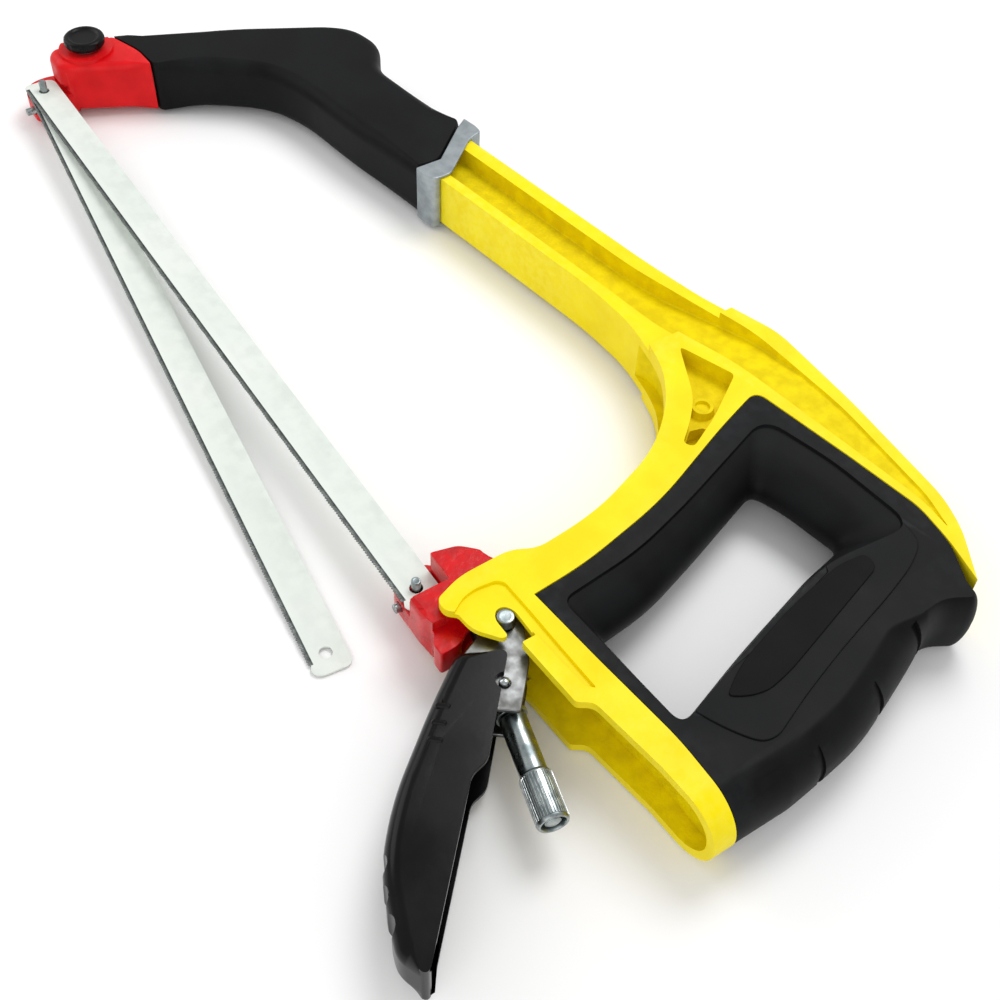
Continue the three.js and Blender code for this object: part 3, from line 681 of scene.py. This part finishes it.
def gripOpening():
    half, rim = grip["half"], 11.4
    heights = [-rim + 2 * rim * i / 18 for i in range(19)]
    rings = [(z, openingPoints(max(0, 1 - (z / rim) ** 2) ** 0.75)) for z in heights]
    outside = openingPoints(0)
    lip = inset(outside, -0.35)
    return stack("tool", [(-half - 2, lip), (-half + 0.25, lip), *rings, (half - 0.25, lip), (half + 2, lip)])


notchShape = {"halfWidth": 1.3, "depth": 0.9, "overshoot": 2, "reach": 54, "steps": 16}


# A shallow groove round the back of the grip, square to the back's direction.
def backNotch(x, y, heading):
    turn = math.radians(heading)
    tangent = Vector((math.cos(turn), math.sin(turn)))
    inward = Vector((-tangent.y, tangent.x))
    radius = grip["back"]
    shape = bmesh.new()
    reach, steps = math.radians(notchShape["reach"]), notchShape["steps"]
    columns = []
    for side in (-notchShape["halfWidth"], notchShape["halfWidth"]):
        column = []
        for i in range(steps + 1):
            angle = -reach + 2 * reach * i / steps
            depth = notchShape["depth"] * math.cos(angle * 1.5) ** 0.5 if 0 < i < steps else 0
            for away in (radius - depth, radius + notchShape["overshoot"]):
                place = Vector((x, y)) + tangent * side + inward * (radius - away * math.cos(angle))
                column.append(shape.verts.new(at(place.x, place.y, away * math.sin(angle))))
        columns.append(column)
    first, other = columns
    for i in range(steps):
        a, b, c, d = 2 * i, 2 * i + 2, 2 * i + 3, 2 * i + 1
        shape.faces.new((first[a], first[b], first[c], first[d]))
        shape.faces.new((other[a], other[b], other[c], other[d]))
        shape.faces.new((first[a], first[b], other[b], other[a]))
        shape.faces.new((first[d], first[c], other[c], other[d]))
    for i in (0, 2 * steps):
        shape.faces.new((first[i], first[i + 1], other[i + 1], other[i]))
    bmesh.ops.recalc_face_normals(shape, faces=shape.faces)
    return addPiece("tool", shape)


def makeHandleGrip():
    half, back, gap, rubber = grip["half"], grip["back"], grip["gap"], finish["gripRubber"]
    border = inset(outline(gripCorners, 8), gap, lambda x, y: 1 - behindGrip(x, y))
    levels = [-half, -12, -11, -9.6, -8, -6, -4, -2, 2, 4, 6, 8, 9.6, 11, 12, half]
    rings = [(z, inset(border, back - math.sqrt(back ** 2 - z ** 2), behindGrip)) for z in levels]
    body = stack("handleGrip", rings, rubber)
    combine(body, "INTERSECT", roundedEnd(casting["half"] - gap / 2))
    pad = softened(slab(padCorners, 11, half + grip["pad"]), 0.35)
    combine(body, "UNION", pad, overleaf(pad))
    cut(body, gripOpening())
    cut(body, *[backNotch(*notch) for notch in notches])
    coreHalf = casting["coreHalf"] + gap
    coreRing = inset(outline(coreCorners), -gap)
    cut(body, stack("tool", [(-coreHalf, coreRing), (coreHalf, coreRing)]))
    settle(body, "frame", "handle_grip", 0.45)


def makeGripPanel(name, node, side):
    low, high = grip["half"] + grip["gap"], grip["half"] + 1
    low, high = (low, high) if side > 0 else (-high, -low)
    settle(slab(panelCorners, low, high, finish["gripInsert"], name), "frame", node, 0.22)


makeHandleGrip()
makeGripPanel("gripPanelNear", "grip_panel_near", 1)
makeGripPanel("gripPanelFar", "grip_panel_far", -1)
print("handle made")


# Nose

nose = {"half": 11.2, "radius": 5.2, "armHalf": 5.3, "spigotHalf": 8.3}
sleeveBorder = [(20.2, 41.2, 2), (8, 40.4, 4), (-2, 37, 2), (-6.4, 35.4)]
sleeveCorners = [
    (136.2, 98.2), (100, 90.6, 10), (64, 85.9, 10), (46, 78.8, 12), (31.5, 61, 10), *sleeveBorder,
    (-4.4, 43.6, 3), (9.5, 81, 10), (29, 118.5, 10), (37, 126.8, 8), (52, 130, 6), (69, 120.6, 6),
    (94, 124, 10), (118, 128.6, 2), (121.7, 125.1, 3), (136.2, 108.3, 3),
]
armSpaceCorners = [
    (98, 97.4, 2), (98, 116.6, 2), (62, 112.6, 10), (45.6, 111.6, 8), (35.5, 98.3, 8), (16.5, 66.3, 10),
    (2.5, 43.3, 8), (-8.2, 22, 4), (-6.5, 13.9, 3), (3.4, 13.9, 3), (18.1, 41.7, 8), (30.5, 63.6, 10),
    (44.4, 82.5, 8), (58.2, 91.9, 8),
]
nicks = [((5.4, 69.8), 69), ((19.6, 100.8), 61)]  # where the sleeve's front edge is nicked, and its direction


def sleeveRounding(x, y):
    atCollar = 1 - 0.8 * smoothstep(x + 0.8 * (y - 108), 118, 134)
    nearHolder = smoothstep(y - 0.15 * x, 38, 54)
    return atCollar * nearHolder


def armSpace():
    return slab(armSpaceCorners, -nose["armHalf"], nose["armHalf"])


def sleeveNick(place, heading):
    turn = math.radians(heading)
    tangent = Vector((math.cos(turn), math.sin(turn)))
    outward = Vector((-tangent.y, tangent.x))
    middle = Vector(place)
    corners = [
        tuple(middle + tangent * a + outward * b) + (0.8,)
        for a, b in ((-2.6, 3), (-1.6, -1.6), (1.6, -1.6), (2.6, 3))
    ]
    return slab(corners, 2, 13)


def makeNoseSleeve():
    body = pillow(
        "noseSleeve", sleeveCorners, nose["half"], nose["radius"], finish["gripRubber"], sleeveRounding, 9)
    spigot = slab([
        (94.7, beamLine(94.7, 80.7)), (142, beamLine(142, 80.7)), (128, beamLine(128, 102.3)),
        (94.7, beamLine(94.7, 102.3)),
    ], -nose["spigotHalf"], nose["spigotHalf"])
    cut(body, armSpace(), spigot)
    cutBothSides(body, *[sleeveNick(*nick) for nick in nicks])
    settle(body, "frame", "nose_sleeve", 0.5)


# The casting under the sleeve, which shows as the grey collar.
def makeNoseCore():
    settle(fromNode("noseCore", "nose_core", finish["greyCast"]), "frame", "nose_core", 0.6)


makeNoseSleeve()
makeNoseCore()
print("nose made")


# Front blade holder and thumb screw

holder = {"half": 10.8, "radius": 3.6, "seat": -2.3, "bossRadius": 11, "bossTop": 12, "stud": 2.7, "pin": 1.8}
thumb = {"x": -3.4, "y": 21.9, "radius": 8.3, "low": 13.2, "high": 17.2}
blockCorners = [
    (-6.7, 34.8, 1), (-12.4, 16, 5), (-12.2, 9.6, 4), (-8.5, 7.1, 2), (1, 7.1, 3), (5, 11, 4), (16, 34, 4),
    (19.6, 40.6, 1), (7.8, 39.9, 4), (-2, 36.5, 1),
]


# The block's edges are rounded up to the sleeve, and sharp where they meet it.
def belowBorder(x, y):
    return 1 - smoothstep(y - 0.35 * x, 22, 36)


def makeFrontHolder():
    paint, x, y = finish["redPaint"], thumb["x"], thumb["y"]
    body = pillow("frontHolder", blockCorners, holder["half"], holder["radius"], paint, belowBorder, 8)
    boss = bar((x, y, 7), (x, y, holder["bossTop"]), holder["bossRadius"], paint, 64)
    combine(boss, "INTERSECT", stack("tool", [(z, inset(outline(blockCorners), 1.2)) for z in (0, 20)]))
    shelf = softened(slab([
        (-5.5, -6.4, 3), (-12, -3, 4), (-14, 4, 4), (-12.4, 12),
        (4.6, 12), (4, 4, 3), (6, -3, 3), (3, -6.4, 3),
    ], -holder["half"], holder["seat"], paint), 0.7)
    combine(body, "UNION", boss, shelf)
    nut = bar((x, y, -12), (x, y, -6.4), 5.2, paint, 6)
    groove = slab([(-9, 5.6, 1), (6, 5.6, 1), (8, 8.3, 1), (2, 9.4, 1), (-8, 8.8, 1)], -1.9, 1.2)
    cut(body, armSpace(), bar((x, y, -12), (x, y, 14), holder["stud"]), nut, groove)
    cut(body, bar((0, 0, -8), (0, 0, 0), holder["pin"]), bar((1.5, -8, -6), (1.5, -1, -6), holder["pin"]))
    settle(body, "frame", "front_holder", 0.5)


def makeThumbKnob():
    x, y, radius, low, high = thumb.values()
    profile = [
        (0, high - 0.9), (4.6, high - 0.9), (5.6, high - 0.5), (6.2, high - 0.05), (6.8, high),
        (7.6, high - 0.2), (8.1, high - 0.7), (radius, high - 1.3), (radius, low + 1.3), (7.9, low + 0.6),
        (7.2, low), (0, low),
    ]
    body = turned("thumbKnob", profile, (x, y, 0), (x, y, 1), finish["knobPlastic"], 72)
    dents = []
    for i in range(8):
        angle = math.tau * (i + 0.5) / 8
        away = radius + 2.2
        place = (x + away * math.cos(angle), y + away * math.sin(angle))
        dents.append(bar((*place, low - 1), (*place, high - 0.7), 2.7, None, 24))
    cut(body, *dents)
    cut(body, bar((x, y, low - 1), (x, y, low + 2.4), holder["stud"]))
    settle(body, "thumb_screw", "thumb_knob", 0.3)


makeFrontHolder()
makeThumbKnob()
print("front holder made")


# Blades

blade = {
    "span": 300, "width": 12.7, "thickness": 0.7, "end": 7, "hole": 2.1, "pitch": 1.06, "tooth": 0.75,
    "set": 0.22, "wave": 8, "strip": 1.5, "spareTurn": -5.8, "spareDroop": 2.15, "spareHeight": -1.25,
}


# A blade with its teeth along one edge, set in a gentle wave, and a hole at each end.
def makeBlade(name, place):
    half, end, span = blade["width"] / 2, blade["end"], blade["span"]
    thick, pitch, tooth = blade["thickness"] / 2, blade["pitch"], blade["tooth"]
    corners = outline([
        (-end, -half, 3), (span + end, -half, 4), (span + end, half, 3), (-end, half, 4),
    ], 8)
    toothed = [p.x for p in corners if abs(p.y + half) < 0.01]
    count = int((max(toothed) - min(toothed)) / pitch)
    edge = []
    for i in range(count):
        x, swing = min(toothed) + i * pitch, math.sin(math.tau * i / blade["wave"])
        edge.append((x, -half + tooth, 0.3 * swing))
        edge.append((x + pitch * 0.15, -half, swing))
    edge.append((min(toothed) + count * pitch, -half + tooth, 0))
    rest = [(p.x, p.y, 0) for p in corners if p.y > -half + 0.01]
    right = sorted((p for p in rest if p[0] > span / 2), key=lambda p: math.atan2(p[1], p[0] - span))
    left = sorted((p for p in rest if p[0] <= span / 2), key=lambda p: math.atan2(p[1], p[0]) % math.tau)
    ring = edge + right + left
    shape = bmesh.new()

    def point(x, y, z):
        return shape.verts.new(Vector((x, y, z)) * millimetre)

    bottom, top = [
        [point(x, y, z + blade["set"] * swing) for x, y, swing in ring] for z in (-thick, thick)
    ]
    lowStrip, highStrip = [
        [point(x, -half + blade["strip"], z) for x, y, swing in edge[::2]] for z in (-thick, thick)
    ]
    toothFaces = []
    for k in range(count):
        i = 2 * k
        toothFaces.append((top[i], top[i + 1], top[i + 2], highStrip[k + 1], highStrip[k]))
        toothFaces.append((lowStrip[k], lowStrip[k + 1], bottom[i + 2], bottom[i + 1], bottom[i]))
    for i in range(len(edge) - 1):
        toothFaces.append((bottom[i], bottom[i + 1], top[i + 1], top[i]))
    for face in toothFaces:
        shape.faces.new(face).material_index = 1
    for i in range(len(edge) - 1, len(ring)):
        j = (i + 1) % len(ring)
        shape.faces.new((bottom[i], bottom[j], top[j], top[i]))
    shape.faces.new([*highStrip, *top[len(edge) - 1:], top[0]])
    shape.faces.new([*lowStrip, *bottom[len(edge) - 1:], bottom[0]][::-1])
    bmesh.ops.recalc_face_normals(shape, faces=shape.faces)
    made = addPiece(name, shape, finish["bladeEnamel"])
    made.data.materials.append(finish["toothSteel"])
    radius = blade["hole"] * millimetre
    for x in (0, span):
        hole = bmesh.new()
        bmesh.ops.create_cone(
            hole, cap_ends=True, segments=40, radius1=radius, radius2=radius, depth=4 * millimetre,
            matrix=Matrix.Translation(Vector((x, 0, 0)) * millimetre))
        cut(made, addPiece("tool", hole, finish["bladeEnamel"]))
    made.data.transform(place)
    return made


mountedPlace = Matrix.Translation(sawOrigin)
sparePlace = (
    Matrix.Translation(at(0, 0, blade["spareHeight"]))
    @ Matrix.Rotation(math.radians(blade["spareTurn"]), 4, "Z")
    @ Matrix.Rotation(math.radians(blade["spareDroop"]), 4, "Y")
)
settle(makeBlade("bladeMounted", mountedPlace), "blade_mounted", "blade_mounted", 0)
settle(makeBlade("bladeSpare", sparePlace), "blade_spare", "blade_spare", 0)
print("blades made")


# Pins

pins = {
    "frontPinStraight": ("front_pin_straight", "frame", (0, 0, -7.5), (0, 0, 4.8), 1.5),
    "frontPinAngled": ("front_pin_angled", "frame", (1.5, -2, -6), (1.5, -9.6, -6), 1.5),
    "rearPinStraight": ("rear_pin_straight", "rear_holder", (300, 0, -7.5), (300, 0, 4), 1.5),
    "rearPinAngled": ("rear_pin_angled", "rear_holder", (300.5, -2, -4.2), (300.5, -8, -4.2), 1.5),
    "hookPinNear": ("hook_pin_near", "lever", (329, 12.3, 5.6), (329, 12.3, 11.6), 2.6),
    "hookPinFar": ("hook_pin_far", "lever", (329, 12.3, -5.6), (329, 12.3, -11.6), 2.6),
}


# A pin with a rounded head end. The hook pins step down to a neck where they enter the lever.
def makePin(name, node, body, start, end, radius):
    top = (Vector(end) - Vector(start)).length
    foot = [(radius, 0.3), (radius - 0.3, 0)]
    if "hook" in node:
        foot = [(radius, top - 3.2), (2.2, top - 3.2), (2.2, 0.2), (2.0, 0)]
    profile = [
        (0, top - 0.08), (radius * 0.6, top - 0.05), (radius - 0.35, top), (radius - 0.1, top - 0.12),
        (radius, top - 0.4), *foot, (0, 0),
    ]
    made = turned(name, profile, start, end, finish["zincPlate"], 32)
    settle(made, body, node, 0)


for pinName, (node, body, start, end, radius) in pins.items():
    makePin(pinName, node, body, start, end, radius)
print("pins made")


# Rear blade holder and its drawbar

lever = {"hook": (329, 12.3), "angle": -42.5, "half": 9, "radius": 4.6, "trunnion": (19.3, 3.05)}
drawbar = {"eye": (301.5, 12.7), "nutFrom": 52.4, "knurlFrom": 71, "nutTo": 85.8}


# A point from its distances along the open lever and across it.
def onLever(a, b):
    turn = math.radians(lever["angle"])
    ahead, across = Vector((math.cos(turn), math.sin(turn))), Vector((-math.sin(turn), math.cos(turn)))
    return Vector(lever["hook"]) + ahead * a + across * b


trunnionPlace = onLever(*lever["trunnion"])
drawbarWay = (trunnionPlace - Vector(drawbar["eye"])).normalized()


def onDrawbar(distance):
    place = Vector(drawbar["eye"]) + drawbarWay * distance
    return (place.x, place.y, 0)


def makeRearHolder():
    body = fromNode("rearHolder", "rear_holder", finish["redGloss"])
    settle(body, "rear_holder", "rear_holder", 0.5)


def makeDrawbar():
    body = fromNode("tensionRod", "drawbar", finish["zincPlate"])
    tip = turned("tool", [
        (0, 0.5), (1.5, 0.45), (2.1, 0.1), (2.3, -0.6), (2.0, -0.9), (2.0, -1.5), (2.3, -1.8),
        (2.3, -4), (0, -4),
    ], onDrawbar(drawbar["nutTo"] - 0.6), onDrawbar(drawbar["nutTo"] + 0.4), finish["zincPlate"], 36)
    combine(body, "UNION", tip)
    settle(body, "drawbar", "drawbar", 0.25)


# A smooth tube with a straight knurled grip at its rear, open at both ends.
def makeTensionNut():
    start, knurl, end = 0, drawbar["knurlFrom"] - drawbar["nutFrom"], drawbar["nutTo"] - drawbar["nutFrom"]
    profile = [
        (2.75, end - 2.6), (3.2, end - 2.4), (3.3, end - 0.5), (3.7, end), (4.3, end), (4.62, end - 0.5),
        (4.62, end - 1), (4.45, end - 1.2), (4.45, knurl + 0.6), (4.6, knurl + 0.3), (4.3, knurl - 0.2),
        (4.0, knurl - 0.5), (4.0, start + 0.5), (3.6, start), (2.75, start), (2.75, end - 2.6),
    ]
    origin, ahead = onDrawbar(drawbar["nutFrom"]), onDrawbar(drawbar["nutFrom"] + 1)
    body = turned("tensionNut", profile, origin, ahead, finish["zincPlate"], 72)
    place, length = along(origin, ahead)
    place = place @ Matrix.Translation((0, 0, -length / 2 * millimetre))
    ribs = bmesh.new()
    ribCount = 36
    for i in range(ribCount):
        angle = math.tau * i / ribCount
        corners = [(4.35, -0.035), (4.75, -0.012), (4.75, 0.012), (4.35, 0.035)]
        low, high = knurl + 0.7, end - 1.1
        ring = [(r, angle + turn * 1.6, z) for z in (low, high) for r, turn in corners]
        made = [
            ribs.verts.new(place @ (Vector((r * math.cos(t), r * math.sin(t), z)) * millimetre))
            for r, t, z in ring
        ]
        for k in range(4):
            j = (k + 1) % 4
            ribs.faces.new((made[k], made[j], made[4 + j], made[4 + k]))
        ribs.faces.new(made[:4][::-1])
        ribs.faces.new(made[4:])
    bmesh.ops.recalc_face_normals(ribs, faces=ribs.faces)
    combine(body, "UNION", addPiece("tool", ribs, finish["zincPlate"]))
    settle(body, "tension_nut", "tension_nut", 0)


def makeTrunnion():
    body = fromNode("crossPin", "trunnion", finish["pressedSteel"])
    x, y = trunnionPlace
    for side in (-1, 1):
        dome = [(0, 8.75), (0.8, 8.6), (1.3, 8.2), (1.5, 7.7), (1.5, 6), (0, 6)]
        tip = turned("tool", dome, (x, y, 0), (x, y, side), finish["zincPlate"], 28)
        combine(body, "UNION", tip)
    settle(body, "trunnion", "trunnion", 0.3)


makeRearHolder()
makeDrawbar()
makeTensionNut()
makeTrunnion()
thrustWasher = fromNode("thrustWasher", "thrust_washer", finish["zincPlate"])
settle(thrustWasher, "nut_carrier", "thrust_washer", 0.2)
print("rear holder and drawbar made")


# Lever

leverBack = [(29, -15.8, 10), (59, -20, 14), (78, -18.9, 8), (93, -13, 8), (99.5, -10, 3)]
shellCorners = [
    (9.4, 2.4, 2.4), (10.6, -12, 4), *leverBack, (103.6, -1.2, 3), (49.4, -0.7, 2), (44.4, 2.7, 2),
]
hollowCorners = [
    (5, 8), (5, -9.2), (11, -10.2), (29, -13.8, 10), (59, -18, 14), (78, -16.9, 8), (91.5, -11.2, 8),
    (98, -8.4, 2), (101, -2.4, 2), (101, 8),
]
pressedRibs = [30.4, 35.7, 41]
fingerDents = [(77, -19.4), (85.2, -17.2), (92.6, -13.9)]


def onLeverCorners(corners):
    return [(*onLever(a, b), *radius) for a, b, *radius in corners]


# Only the lever's back is rounded; its open side keeps sharp edges.
def backOfLever(x, y):
    turn = math.radians(lever["angle"])
    across = Vector((-math.sin(turn), math.cos(turn)))
    return smoothstep(-(Vector((x, y)) - Vector(lever["hook"])).dot(across), 3, 10)


def capsule(start, end, radius, surface):
    shape = bmesh.new()
    place, length = along(start, end)
    bmesh.ops.create_uvsphere(shape, u_segments=20, v_segments=12, radius=radius * millimetre)
    for vertex in shape.verts:
        vertex.co.z += math.copysign(length / 2 * millimetre, vertex.co.z)
    shape.transform(place)
    return addPiece("tool", shape, surface)


def makeLeverShell():
    gloss, half = finish["leverGloss"], lever["half"]
    body = pillow("leverShell", onLeverCorners(shellCorners), half, lever["radius"], gloss, backOfLever, 9, 8)
    wall = 1.5
    cut(body, slab(onLeverCorners(hollowCorners), -half + wall, half - wall))
    for a in pressedRibs:
        for side in (-1, 1):
            inner, outer = onLever(a, -10.8), onLever(a, -13.4)
            rib = capsule((*inner, side * 8.6), (*outer, side * 8.45), 0.95, gloss)
            combine(body, "UNION", rib)
    for a, b in fingerDents:
        place = onLever(a, b - 1.7)
        cut(body, bar((*place, -12), (*place, 12), 3.8, gloss, 48))
    x, y = trunnionPlace
    cut(body, bar((x, y, -12), (x, y, 12), 2.6, gloss))
    settle(body, "lever", "lever_shell", 0.45)


makeLeverShell()
leverFrame = fromNode("leverFrame", "lever_frame", finish["pressedSteel"])
settle(leverFrame, "lever", "lever_frame", 0.3)
print("lever made")


# The hidden fasteners keep their CAD shape and get a real finish.

keptNodes = {
    "nose_roll_pin": "zincPlate", "clamp_nut": "zincPlate", "knob_washer": "zincPlate",
    "knob_stud": "zincPlate", "drawbar_pin": "zincPlate",
}
for node, finishName in keptNodes.items():
    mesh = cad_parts[node].data
    mesh.materials.clear()
    mesh.materials.append(finish[finishName])
